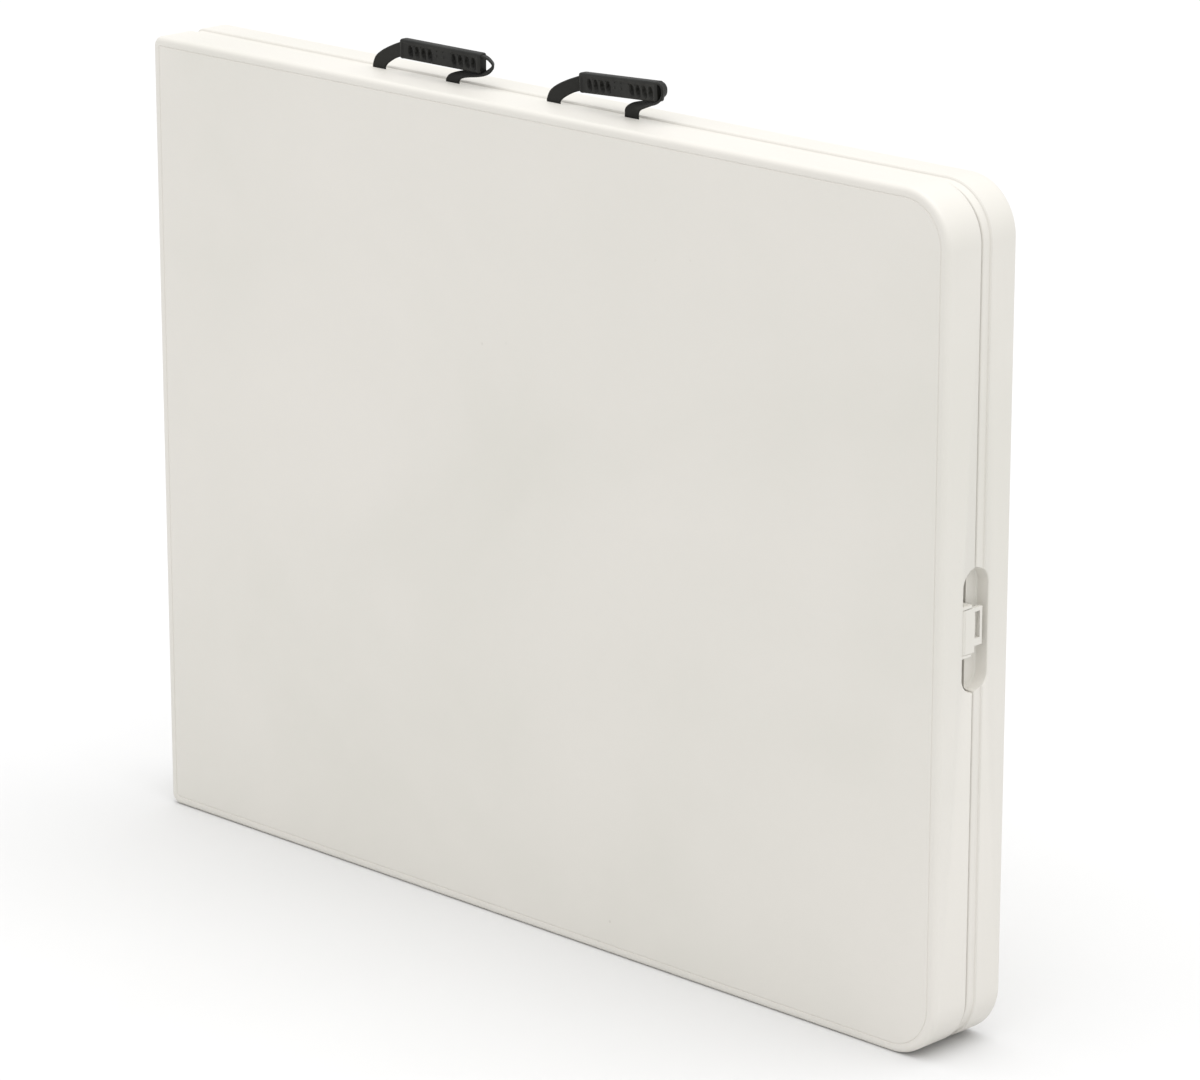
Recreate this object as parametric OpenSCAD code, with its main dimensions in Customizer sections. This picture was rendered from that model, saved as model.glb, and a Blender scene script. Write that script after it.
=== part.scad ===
// Fold-in-half table, closed like a suitcase and standing on one long edge.
// +X runs from the fold end to the open end, +Y from the front half to the rear half, +Z up.
// The origin is the centre of the footprint that the closed table stands on.
// Inside one half, u is the distance from the fold axis and w the depth from the seam plane.

/* [Table halves] */
// Length of one half, from the fold axis to the open end
half_len = 978; // [970:1:986]
// Width of the table top, which is its height when it stands closed
table_w = 760; // [750:2:770]
// Thickness of the two closed halves together
closed_t = 88; // [87:1:92]
// Gap between the two halves along the seam
seam_gap = 3; // [2.6:0.2:3.4]
// Radius of the corners at the open end
corner_r = 49; // [44:1:54]
// Radius of the corners at the fold end
fold_corner_r = 10; // [8:1:14]
// Rounding of the edge round each table face
edge_round = 5; // [3:0.5:6]
// Width of the rim that stands up round the hollow underside
rim_w = 24; // [23:0.5:25]
// Depth of the underside's floor below the seam plane
floor_w = 27; // [26.8:0.1:27.4]
// Wall thickness of the blow-moulded skins
skin = 2.5; // [2:0.1:2.8]
// Distance of the decorative groove from the edges of the face
groove_inset = 8.7; // [7.5:0.1:10]

/* [Legs] */
// Distance from the fold axis to the axis on which the legs swing
leg_pivot_u = 938; // [936:1:940]
// Length of a leg, from its swing axis to the bottom of its foot
leg_len = 693; // [680:1:694]
// Outer radius of the leg tubes
leg_r = 11; // [10:0.5:11.5]
// Wall thickness of the steel tubes
tube_wall = 1.2; // [1:0.1:1.5]
// Height of the lower leg of the front pair, which is the wide pair
front_leg_z = 70; // [69:0.5:72]
// Height of the lower leg of the rear pair, which nests inside the front pair
rear_leg_z = 104; // [102:1:110]

/* [Braces] */
// Distance from the swing axis to the crossbar between the legs
crossbar_at = 320; // [310:2:330]
// Distance from the swing axis to the brace's anchor on the table half
anchor_at = 230; // [224:2:236]
// Width of the flat brace links
link_w = 14; // [12:1:15]
// Thickness of the flat brace links
link_t = 5; // [4:0.5:5]

/* [Handles] */
// Distance from the fold axis to the first foot of the left handle
left_handle_u = 262; // [240:2:280]
// Distance from the fold axis to the first foot of the right handle
right_handle_u = 484; // [470:2:500]
// Distance between the two feet of a handle
foot_pitch = 95; // [90:1:100]
// Width of the handle strap
strap_w = 17; // [14:1:20]
// Length of the moulded grip
grip_len = 103; // [98:1:106]
// Height of the moulded grip
grip_h = 18; // [16:1:20]
// Thickness of the moulded grip
grip_t = 10; // [8:0.5:11]

/* [Latch] */
// Height of the finger recess round the latch
recess_h = 110; // [100:2:120]
// Half the width of the finger recess
recess_r = 16.2; // [16:0.1:17]
// Depth of the finger recess
recess_deep = 13; // [12.5:0.1:14]
// Height of the latch lever
lever_h = 39.2; // [36:0.2:39.2]

/* [Hidden] */

FRONT = -1;
REAR = 1;
IVORY = [0.87, 0.86, 0.83];
STEEL_GREY = [0.55, 0.56, 0.58];
ZINC = [0.72, 0.72, 0.72];
BLACK = [0.08, 0.08, 0.08];
$fn = 48;

half_t = closed_t / 2;
seam_w = seam_gap / 2;
// The end faces at the fold stop short of the fold axis, so that they don't rub when the table is open.
end_gap = 0.4;
mid_z = table_w / 2;

// Fold hinges
knuckle_r = 5;
hinge_pin_r = 2.5;
fold_x = -(half_len - knuckle_r) / 2;
leaf_z0 = 26;
leaf_z1 = 66;
leaf_len = 64;
leaf_w0 = 4;
leaf_t = 3;
knuckle_end = 12;
knuckle_play = 0.4;
pin_head_t = 1.2;
pin_head_r = 4;
running = 0.05;

// Side rails
rail_z0 = 26;
rail_size = 20;
rail_w0 = floor_w - rail_size;
rail_u0 = 26;
rail_u1 = 925;
rail_wall = 1.5;
rail_screw_us = [46, 270, 480, 690, 880];
rail_screw_z = rail_z0 + rail_size / 2;
screw_r = 2;
screw_play = 0.15;
screw_head_r = 4.2;
screw_head_t = 2.2;
screw_deep = 9;
boss_r = 6.5;

// Leg pivots
pivot_w = 14.5;
pivot_r = 9;
bracket_z0 = 47;
bracket_t = 10;
bracket_r = 12.3;
bracket_foot = 42;
bracket_base_w = 18;
bracket_screw_us = [leg_pivot_u - 36, leg_pivot_u - 24];
bracket_screw_z = bracket_z0 + bracket_t / 2;
bar_r = 8;
cap_r = 12.5;
cap_len = 38;
cap_floor = 4;

// Braces
crossbar_u = leg_pivot_u - crossbar_at;
anchor_u = leg_pivot_u - anchor_at;
brace_len = sqrt(crossbar_at * crossbar_at + anchor_at * anchor_at);
leg_link_len = (brace_len + crossbar_at - anchor_at) / 2;
panel_link_len = (brace_len - crossbar_at + anchor_at) / 2;
link_gap = 1;
leg_link_z = mid_z - link_gap - link_t;
panel_link_z = mid_z + link_gap;
sleeve_r = bar_r + 3.5;
sleeve_h = 9;
sleeve_z = mid_z - sleeve_h;
collar_h = 4.8;
rivet_r = 3;
rivet_head_r = 5.5;
rivet_head_t = 2;
anchor_pin_r = 4;
ear_z = panel_link_z + link_t + 0.6;
ear_t = 4;
anchor_base_t = 3;
anchor_screw_us = [anchor_u - 11, anchor_u + 11];
anchor_screw_z = ear_z + 15;

// Handles
strap_t = 2;
strap_axis_z = table_w + 1.3;
grip_z0 = table_w + 13;
grip_shift = 31;
strap_rise = 15;
plate_len = 0.6;
loop_len = 8;
// The hinge bars stand this much proud of the strap all round.
bar_over = 0.2;
foot_t = 0.4;
buried = 0.1;
grip_r = 3;
// The left grip lies straight; the right one is turned towards the front half, its right end up.
LEFT_HANDLE = 0;
RIGHT_HANDLE = 1;
grip_yaws = [0, 5];
grip_rolls = [0, 4];
grip_lifts = [0, 3];
tail_bottom = table_w - 15;
bead_r = 3.5;
bead_len = 24;
bead_y = 2.5;
handle_screw_r = 1.5;
handle_screw_deep = 16;

// Latch
lever_axis_u = half_len - 6;
lever_axis_w = 11.5;
lever_hub_r = 4.3;
lever_pin_r = 1.5;
lever_u0 = half_len - 5;
lever_u1 = half_len - 1.5;
hasp_reach = 10;
hasp_z0 = mid_z - 14;
window_w0 = 0.6;
window_w1 = 7.2;
window_z0 = mid_z - 7.5;
window_z1 = mid_z + 16;
cheek_t = 3;
cheek_play = 0.3;
cheek_z = lever_h / 2 + cheek_play;
cheek_w0 = 3;
catch_short = 0.3;

// Moulded dimples that join the two skins of a half
dimple_us = [for (i = [0:7]) 105 + 110 * i];
dimple_zs = [for (i = [0:4]) mid_z + 120 * (i - 2)];
dimple_top_r = 13;
dimple_tip_r = 4;

// Draws its children in one half: u along X from the fold axis, w along Y away from the seam.
module on_half(side) {
    translate([fold_x, 0, 0]) {
        if (side == REAR) children();
        else mirror([0, 1, 0]) children();
    }
}

// Draws its children, which are made for the lower edge, at the lower or the upper edge.
module at_edge(upper) {
    if (upper) translate([0, 0, table_w]) mirror([0, 0, 1]) children();
    else children();
}

// Extrudes a (u, z) outline from depth w0 to depth w1.
module slab(w0, w1) {
    translate([0, w1, 0]) rotate([90, 0, 0]) linear_extrude(w1 - w0) children();
}

// The outline of a half, moved inwards by inset, in (u, z).
module outline(inset) {
    r_open = corner_r - inset;
    r_fold = max(fold_corner_r - inset, 3);
    u0 = end_gap + inset;
    u1 = half_len - inset;
    z0 = inset;
    z1 = table_w - inset;
    translate([u0 + r_fold, z0]) square([u1 - r_open - u0 - r_fold, z1 - z0]);
    translate([u0, z0 + r_fold]) square([r_fold + 1, z1 - z0 - 2 * r_fold]);
    translate([u1 - r_open - 1, z0 + r_open]) square([r_open + 1, z1 - z0 - 2 * r_open]);
    for (z = [z0 + r_fold, z1 - r_fold]) translate([u0 + r_fold, z]) circle(r_fold);
    for (z = [z0 + r_open, z1 - r_open]) translate([u1 - r_open, z]) circle(r_open);
}

// A cylinder along w, from depth w0 to depth w1.
module w_rod(u, z, w0, w1, r) {
    translate([u, w1, z]) rotate([90, 0, 0]) cylinder(h = w1 - w0, r = r);
}

// A cylinder along z, centred on the leg pivots' depth.
module z_rod(u, z0, z1, r) {
    translate([u, pivot_w, z0]) cylinder(h = z1 - z0, r = r);
}

// A flat bar in the brace plane with round ends, lying along u.
module flat_link(u0, u1, z0) {
    translate([u0, pivot_w - link_w / 2, z0]) cube([u1 - u0, link_w, link_t]);
    for (u = [u0, u1]) z_rod(u, z0, z0 + link_t, link_w / 2);
}

// A pan-head screw along w: its head ends at depth head_w, and its shank goes on to depth tip_w.
module screw(u, z, head_w, tip_w) {
    w_rod(u, z, head_w - screw_head_t, head_w, screw_head_r);
    w_rod(u, z, head_w, tip_w, screw_r);
}

// The clearance hole of that screw.
module screw_hole(u, z, w0, w1) {
    w_rod(u, z, w0, w1, screw_r + screw_play);
}

// A cone for every dimple, from the floor of the underside to the skin of the face.
module dimples(wall, deep) {
    for (u = dimple_us, z = dimple_zs)
        translate([u, deep, z]) rotate([90, 0, 0])
            cylinder(h = deep - floor_w + 0.01, r1 = dimple_tip_r + wall, r2 = dimple_top_r + wall);
}

// The places in one half where a screw goes into the shell: [u, z].
shell_screws = concat(
    [for (u = rail_screw_us, z = [rail_screw_z, table_w - rail_screw_z]) [u, z]],
    [for (u = bracket_screw_us, z = [bracket_screw_z, table_w - bracket_screw_z]) [u, z]],
    [for (u = anchor_screw_us) [u, anchor_screw_z]]
);

// The two feet of a handle whose first foot is at u.
function feet(u) = [u, u + foot_pitch];

// One half of the finger recess, as a (w, z) shape run along u.
module recess_form(extra, deep) {
    translate([half_len - deep, 0, mid_z]) rotate([90, 0, 90]) linear_extrude(deep + 1)
        intersection() {
            union() {
                square([2 * (recess_r + extra), recess_h - 2 * recess_r], center = true);
                for (s = [-1, 1]) translate([0, s * (recess_h / 2 - recess_r)]) circle(recess_r + extra);
            }
            translate([0, -recess_h]) square([recess_r + extra + 1, 2 * recess_h]);
        }
}

// The hollow between the skins, without the columns and dimples that join them.
module shell_void(handle_u) {
    difference() {
        slab(seam_w + skin, half_t - skin) outline(skin);
        slab(0, floor_w + skin) outline(rim_w - skin);
        dimples(skin, half_t - skin);
        for (p = shell_screws) w_rod(p[0], p[1], floor_w, half_t, boss_r);
        for (u = feet(handle_u)) w_rod(u, tail_bottom, 0, handle_screw_deep + 6, bead_len / 2 + 3);
        translate([half_len - recess_deep - skin, 0, mid_z - recess_h / 2 - skin])
            cube([recess_deep + skin, recess_r + skin, recess_h + 2 * skin]);
    }
}

// A blow-moulded half: face, rim, hollow underside and every seat that other parts need.
module half_shell(side) {
    handle_u = side == REAR ? left_handle_u : right_handle_u;
    color(IVORY) on_half(side) difference() {
        hull() {
            slab(seam_w, half_t - edge_round) outline(0);
            slab(seam_w, half_t - edge_round * 0.3) outline(edge_round * 0.3);
            slab(seam_w, half_t) outline(edge_round);
        }
        slab(0, floor_w) outline(rim_w);
        shell_void(handle_u);
        dimples(0, half_t - 2 * skin);
        // decorative groove round the face
        slab(half_t - 0.5, half_t + 1) difference() {
            outline(groove_inset);
            outline(groove_inset + 1);
        }
        // hole left by the blow needle
        w_rod(160, mid_z - 60, floor_w - 1, floor_w + skin + 1, 3);
        for (p = shell_screws) screw_hole(p[0], p[1], floor_w - 1, floor_w + screw_deep + 1);
        // notches for the fold hinges
        for (upper = [false, true]) at_edge(upper)
            translate([-1, 0, leaf_z0 - pin_head_t - 0.4])
                cube([rim_w + 3, leaf_w0 + leaf_t + 0.3, leaf_z1 - leaf_z0 + 2 * pin_head_t + 0.8]);
        // seats of the handle's beaded tails
        for (u = feet(handle_u)) {
            translate([u - bead_len / 2 - 0.5, 0, tail_bottom - bead_r - 0.4])
                cube([bead_len + 1, bead_y + bead_r + 0.4, 2 * bead_r + 0.8]);
            w_rod(u, tail_bottom, bead_y + bead_r, handle_screw_deep + 0.5, handle_screw_r + screw_play);
        }
        // finger recess, with the two cheeks that hold the latch pin
        difference() {
            recess_form(0, recess_deep);
            if (side == FRONT) for (z = [-cheek_z - cheek_t, cheek_z])
                translate([half_len - recess_deep - 1, cheek_w0, mid_z + z])
                    cube([recess_deep - 0.5, recess_r, cheek_t]);
        }
        if (side == FRONT)
            translate([lever_axis_u, lever_axis_w, mid_z - lever_h / 2 - cheek_t - 1])
                cylinder(h = lever_h + 2 * cheek_t + 2, r = lever_pin_r + running);
    }
}

module side_rail(side, upper) {
    color(STEEL_GREY) on_half(side) at_edge(upper) difference() {
        translate([rail_u0, rail_w0, rail_z0]) cube([rail_u1 - rail_u0, rail_size, rail_size]);
        translate([rail_u0 - 1, rail_w0 + rail_wall, rail_z0 + rail_wall])
            cube([rail_u1 - rail_u0 + 2, rail_size - 2 * rail_wall, rail_size - 2 * rail_wall]);
        for (u = rail_screw_us) screw_hole(u, rail_screw_z, rail_w0 - 1, floor_w + 1);
    }
}

// The stretches of a hinge, along z, that a leaf's own knuckles fill.
function knuckles(side) = side == FRONT
    ? [[leaf_z0, leaf_z0 + knuckle_end], [leaf_z1 - knuckle_end, leaf_z1]]
    : [[leaf_z0 + knuckle_end + knuckle_play, leaf_z1 - knuckle_end - knuckle_play]];

module hinge_leaf(side, upper) {
    plate_u0 = knuckle_r + 1;
    color(ZINC) on_half(side) at_edge(upper) difference() {
        union() {
            translate([plate_u0, leaf_w0, leaf_z0]) cube([leaf_len - plate_u0, leaf_t, leaf_z1 - leaf_z0]);
            for (k = knuckles(side)) translate([0, 0, k[0]]) {
                cylinder(h = k[1] - k[0], r = knuckle_r);
                translate([0, 0.5, 0]) cube([plate_u0 + 2, leaf_w0 + leaf_t - 0.5, k[1] - k[0]]);
            }
        }
        translate([0, 0, leaf_z0 - 1]) cylinder(h = leaf_z1 - leaf_z0 + 2, r = hinge_pin_r + running);
        screw_hole(rail_screw_us[0], rail_screw_z, leaf_w0 - 1, leaf_w0 + leaf_t + 1);
    }
}

module hinge_pin(upper) {
    color(ZINC) on_half(FRONT) at_edge(upper) {
        translate([0, 0, leaf_z0]) cylinder(h = leaf_z1 - leaf_z0, r = hinge_pin_r);
        for (z = [leaf_z0 - pin_head_t, leaf_z1])
            translate([0, 0, z]) cylinder(h = pin_head_t, r = pin_head_r);
    }
}

module leg_bracket(side, upper) {
    color(STEEL_GREY) on_half(side) at_edge(upper) difference() {
        union() {
            z_rod(leg_pivot_u, bracket_z0, bracket_z0 + bracket_t, bracket_r);
            translate([leg_pivot_u - bracket_r, pivot_w, bracket_z0])
                cube([2 * bracket_r, floor_w - pivot_w, bracket_t]);
            translate([leg_pivot_u - bracket_foot, bracket_base_w, bracket_z0])
                cube([bracket_foot, floor_w - bracket_base_w, bracket_t]);
        }
        z_rod(leg_pivot_u, bracket_z0 - 1, bracket_z0 + bracket_t + 1, pivot_r + running);
        for (u = bracket_screw_us) screw_hole(u, bracket_screw_z, bracket_base_w - 1, floor_w + 1);
    }
}

// The height of the lower leg of a pair.
function leg_z(side) = side == FRONT ? front_leg_z : rear_leg_z;

module pivot_tube(side) {
    color(STEEL_GREY) on_half(side) difference() {
        z_rod(leg_pivot_u, bracket_z0, table_w - bracket_z0, pivot_r);
        z_rod(leg_pivot_u, bracket_z0 - 1, table_w - bracket_z0 + 1, pivot_r - tube_wall);
    }
}

module leg_tube(side, upper) {
    foot_u = leg_pivot_u - leg_len + cap_floor;
    color(STEEL_GREY) on_half(side) at_edge(upper) difference() {
        translate([foot_u, pivot_w, leg_z(side)]) rotate([0, 90, 0])
            cylinder(h = leg_pivot_u - 4 - foot_u, r = leg_r);
        translate([foot_u - 1, pivot_w, leg_z(side)]) rotate([0, 90, 0])
            cylinder(h = leg_len, r = leg_r - tube_wall);
        z_rod(leg_pivot_u, 0, mid_z, pivot_r);
    }
}

module crossbar(side) {
    color(STEEL_GREY) on_half(side) difference() {
        z_rod(crossbar_u, leg_z(side), table_w - leg_z(side), bar_r);
        z_rod(crossbar_u, leg_z(side) - 1, table_w - leg_z(side) + 1, bar_r - tube_wall);
        for (z = [leg_z(side), table_w - leg_z(side)])
            translate([crossbar_u - 40, pivot_w, z]) rotate([0, 90, 0]) cylinder(h = 80, r = leg_r);
    }
}

module foot_cap(side, upper) {
    color(BLACK) on_half(side) at_edge(upper)
        translate([leg_pivot_u - leg_len, pivot_w, leg_z(side)]) rotate([0, 90, 0]) difference() {
            cylinder(h = cap_len, r = cap_r);
            translate([0, 0, cap_floor]) cylinder(h = cap_len, r = leg_r + 0.02);
        }
}

module brace_anchor(side) {
    color(STEEL_GREY) on_half(side) difference() {
        union() {
            z_rod(anchor_u, ear_z, ear_z + ear_t, 9);
            translate([anchor_u - 9, pivot_w, ear_z]) cube([18, floor_w - pivot_w, ear_t]);
            translate([anchor_u - 18, floor_w - anchor_base_t, ear_z]) cube([36, anchor_base_t, 23]);
        }
        z_rod(anchor_u, ear_z - 1, ear_z + ear_t + 1, anchor_pin_r + running);
        for (u = anchor_screw_us) screw_hole(u, anchor_screw_z, floor_w - anchor_base_t - 1, floor_w + 1);
    }
}

module anchor_pin(side) {
    color(ZINC) on_half(side) {
        z_rod(anchor_u, panel_link_z - 0.7, panel_link_z - 0.1, 5.5);
        z_rod(anchor_u, panel_link_z - 0.2, ear_z + ear_t + 0.1, anchor_pin_r);
        z_rod(anchor_u, ear_z + ear_t, ear_z + ear_t + 2, 6.5);
    }
}

module panel_link(side) {
    knee_u = anchor_u + panel_link_len;
    color(STEEL_GREY) on_half(side) difference() {
        flat_link(anchor_u, knee_u, panel_link_z);
        z_rod(anchor_u, panel_link_z - 1, panel_link_z + link_t + 1, anchor_pin_r + running);
        z_rod(knee_u, panel_link_z - 1, panel_link_z + link_t + 1, rivet_r + 0.02);
    }
}

module leg_link(side) {
    knee_u = crossbar_u + leg_link_len;
    color(STEEL_GREY) on_half(side) difference() {
        union() {
            flat_link(crossbar_u, knee_u, leg_link_z);
            z_rod(crossbar_u, sleeve_z, sleeve_z + sleeve_h, sleeve_r);
            z_rod(knee_u, leg_link_z - rivet_head_t, leg_link_z + 1, rivet_head_r);
        }
        z_rod(crossbar_u, sleeve_z - 1, sleeve_z + sleeve_h + 1, bar_r + running);
    }
}

module knee_rivet(side) {
    knee_u = anchor_u + panel_link_len;
    color(ZINC) on_half(side) {
        z_rod(knee_u, panel_link_z, panel_link_z + link_t, rivet_r);
        z_rod(knee_u, panel_link_z + link_t, panel_link_z + link_t + rivet_head_t, rivet_head_r);
    }
}

module brace_collars(side) {
    color(ZINC) on_half(side)
        for (z = [sleeve_z - 0.2 - collar_h, sleeve_z + sleeve_h + 0.2]) difference() {
            z_rod(crossbar_u, z, z + collar_h, sleeve_r - 0.5);
            z_rod(crossbar_u, z - 1, z + collar_h + 1, bar_r + 0.02);
        }
}

// Draws its children, made for a grip that is centred on u = 0 and z = 0, where a turned grip lies.
module at_grip(handle_u, which) {
    translate([handle_u + grip_shift + grip_len / 2, 0, grip_z0 + grip_lifts[which]])
        rotate([0, -grip_rolls[which], -grip_yaws[which]]) children();
}

// A plate of the strap at one end of the grip, from u0 to u1 beyond it and z0 to z1 above its bottom,
// smaller by inset all round where it lies buried in another.
module strap_plate(end, u0, u1, z0, z1, inset = 0) {
    near = min(end * u0, end * u1);
    translate([end * grip_len / 2 + near + inset, inset - strap_t / 2, z0 + inset])
        cube([u1 - u0 - 2 * inset, strap_t - 2 * inset, z1 - z0 - 2 * inset]);
}

// The round bar along the axis about which the handle tilts, at the foot with this u.
module strap_bar(u) {
    translate([u - strap_w / 2 - bar_over, 0, strap_axis_z]) rotate([0, 90, 0])
        cylinder(h = strap_w + 2 * bar_over, r = strap_t / 2 + bar_over);
}

// The foot from which the strap rises, flat and inside the bar.
module strap_foot(u) {
    translate([u - strap_w / 2, -strap_t / 2, strap_axis_z - foot_t / 2]) cube([strap_w, strap_t, foot_t]);
}

// The handle's strap above the seam: a slanting band from each foot to an end of the grip.
module handle_strap(handle_u, which) {
    f = feet(handle_u);
    top = grip_h - 2;
    color(BLACK) on_half(REAR) {
        for (u = f) strap_bar(u);
        hull() {
            strap_foot(f[0]);
            translate([f[0], -strap_t / 2, strap_axis_z + strap_rise - 1]) cube([1, strap_t, 1]);
            at_grip(handle_u, which) strap_plate(-1, 0, plate_len, 0, top);
        }
        hull() {
            strap_foot(f[1]);
            at_grip(handle_u, which) strap_plate(1, 0, loop_len, -plate_len, 0, buried);
        }
        at_grip(handle_u, which) strap_plate(1, 0, loop_len, -plate_len, top);
    }
}

module handle_grip(handle_u, which) {
    color(BLACK) on_half(REAR) at_grip(handle_u, which) translate([-grip_len / 2, 0, 0])
        slab(-grip_t / 2, grip_t / 2) {
            square([grip_len, grip_h - grip_r]);
            translate([grip_r, 0]) square([grip_len - 2 * grip_r, grip_h]);
            for (u = [grip_r, grip_len - grip_r]) translate([u, grip_h - grip_r]) circle(grip_r);
        }
}

// The beaded tails of the strap, held in the rim of one half.
module handle_anchor(side, handle_u) {
    color(BLACK) on_half(side) for (u = feet(handle_u)) difference() {
        union() {
            translate([u - strap_w / 2, -strap_t / 2, tail_bottom])
                cube([strap_w, strap_t, table_w - tail_bottom]);
            translate([u - bead_len / 2, bead_y, tail_bottom]) rotate([0, 90, 0])
                cylinder(h = bead_len, r = bead_r);
        }
        w_rod(u, tail_bottom, -2, bead_y + bead_r + 1, handle_screw_r + screw_play);
        w_rod(u, tail_bottom, -2, 0.2, 3);
    }
}

module handle_screws(side, handle_u) {
    color(ZINC) on_half(side) for (u = feet(handle_u)) {
        w_rod(u, tail_bottom, -0.8, 0.1, 2.8);
        w_rod(u, tail_bottom, 0, handle_screw_deep, handle_screw_r);
    }
}

// A swinging hasp: a hub on the pin, a paddle, and a window that drops over the catch.
module latch_lever() {
    z0 = mid_z - lever_h / 2;
    color(IVORY) on_half(FRONT) difference() {
        union() {
            translate([lever_axis_u, lever_axis_w, z0]) cylinder(h = lever_h, r = lever_hub_r);
            translate([lever_u0, -0.5, z0]) cube([lever_u1 - lever_u0, lever_axis_w + 0.5, lever_h]);
            translate([lever_u0, -hasp_reach, hasp_z0])
                cube([lever_u1 - lever_u0, hasp_reach, z0 + lever_h - hasp_z0]);
        }
        translate([lever_axis_u, lever_axis_w, z0 - 1])
            cylinder(h = lever_h + 2, r = lever_pin_r + running);
        translate([lever_u0 - 1, -window_w1, window_z0])
            cube([lever_u1 - lever_u0 + 2, window_w1 - window_w0, window_z1 - window_z0]);
    }
}

module latch_pin() {
    span = lever_h + 2 * cheek_t + 2 * cheek_play;
    color(ZINC) on_half(FRONT)
        translate([lever_axis_u, lever_axis_w, mid_z - span / 2]) cylinder(h = span, r = lever_pin_r);
}

module latch_catch() {
    color(IVORY) on_half(REAR)
        translate([half_len - recess_deep, 2.4, window_z0 + 2])
            cube([lever_u0 - catch_short - half_len + recess_deep, 3.4, window_z1 - window_z0 - 4]);
}

module rail_screws(side) {
    color(ZINC) on_half(side) for (u = rail_screw_us, upper = [false, true]) at_edge(upper)
        screw(u, rail_screw_z, u < leaf_len ? leaf_w0 : rail_w0, floor_w + screw_deep);
}

module bracket_screws(side) {
    color(ZINC) on_half(side) {
        for (u = bracket_screw_us, upper = [false, true]) at_edge(upper)
            screw(u, bracket_screw_z, bracket_base_w, floor_w + screw_deep);
        for (u = anchor_screw_us) screw(u, anchor_screw_z, floor_w - anchor_base_t, floor_w + screw_deep);
    }
}

half_shell(FRONT);  // front_half_shell
half_shell(REAR);  // rear_half_shell
side_rail(FRONT, false);  // side_rail_front_lower
side_rail(FRONT, true);  // side_rail_front_upper
side_rail(REAR, false);  // side_rail_rear_lower
side_rail(REAR, true);  // side_rail_rear_upper
hinge_leaf(FRONT, false);  // hinge_leaf_front_lower
hinge_leaf(FRONT, true);  // hinge_leaf_front_upper
hinge_leaf(REAR, false);  // hinge_leaf_rear_lower
hinge_leaf(REAR, true);  // hinge_leaf_rear_upper
hinge_pin(false);  // hinge_pin_lower
hinge_pin(true);  // hinge_pin_upper
leg_bracket(FRONT, false);  // leg_bracket_front_lower
leg_bracket(FRONT, true);  // leg_bracket_front_upper
leg_bracket(REAR, false);  // leg_bracket_rear_lower
leg_bracket(REAR, true);  // leg_bracket_rear_upper
pivot_tube(FRONT);  // pivot_tube_front
pivot_tube(REAR);  // pivot_tube_rear
leg_tube(FRONT, false);  // leg_tube_front_lower
leg_tube(FRONT, true);  // leg_tube_front_upper
leg_tube(REAR, false);  // leg_tube_rear_lower
leg_tube(REAR, true);  // leg_tube_rear_upper
crossbar(FRONT);  // crossbar_front
crossbar(REAR);  // crossbar_rear
foot_cap(FRONT, false);  // foot_cap_front_lower
foot_cap(FRONT, true);  // foot_cap_front_upper
foot_cap(REAR, false);  // foot_cap_rear_lower
foot_cap(REAR, true);  // foot_cap_rear_upper
brace_anchor(FRONT);  // brace_anchor_front
brace_anchor(REAR);  // brace_anchor_rear
anchor_pin(FRONT);  // anchor_pin_front
anchor_pin(REAR);  // anchor_pin_rear
panel_link(FRONT);  // panel_link_front
panel_link(REAR);  // panel_link_rear
leg_link(FRONT);  // leg_link_front
leg_link(REAR);  // leg_link_rear
knee_rivet(FRONT);  // knee_rivet_front
knee_rivet(REAR);  // knee_rivet_rear
brace_collars(FRONT);  // brace_collars_front
brace_collars(REAR);  // brace_collars_rear
handle_strap(left_handle_u, LEFT_HANDLE);  // handle_strap_left
handle_strap(right_handle_u, RIGHT_HANDLE);  // handle_strap_right
handle_grip(left_handle_u, LEFT_HANDLE);  // handle_grip_left
handle_grip(right_handle_u, RIGHT_HANDLE);  // handle_grip_right
handle_anchor(REAR, left_handle_u);  // handle_anchor_left
handle_anchor(FRONT, right_handle_u);  // handle_anchor_right
handle_screws(REAR, left_handle_u);  // handle_screws_left
handle_screws(FRONT, right_handle_u);  // handle_screws_right
latch_lever();
latch_pin();
latch_catch();
rail_screws(FRONT);  // rail_screws_front
rail_screws(REAR);  // rail_screws_rear
bracket_screws(FRONT);  // bracket_screws_front
bracket_screws(REAR);  // bracket_screws_rear
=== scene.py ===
"""Looks of a fold-in-half table, closed and standing on one long edge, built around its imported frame.

Lengths in this file are millimetres unless a name says metres; mesh() turns them into metres.
Inside one half, u is the distance from the fold axis, w the depth from the seam plane, z the height.
"""
import math

import bmesh
import bpy
from mathutils import Matrix, Vector


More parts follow.
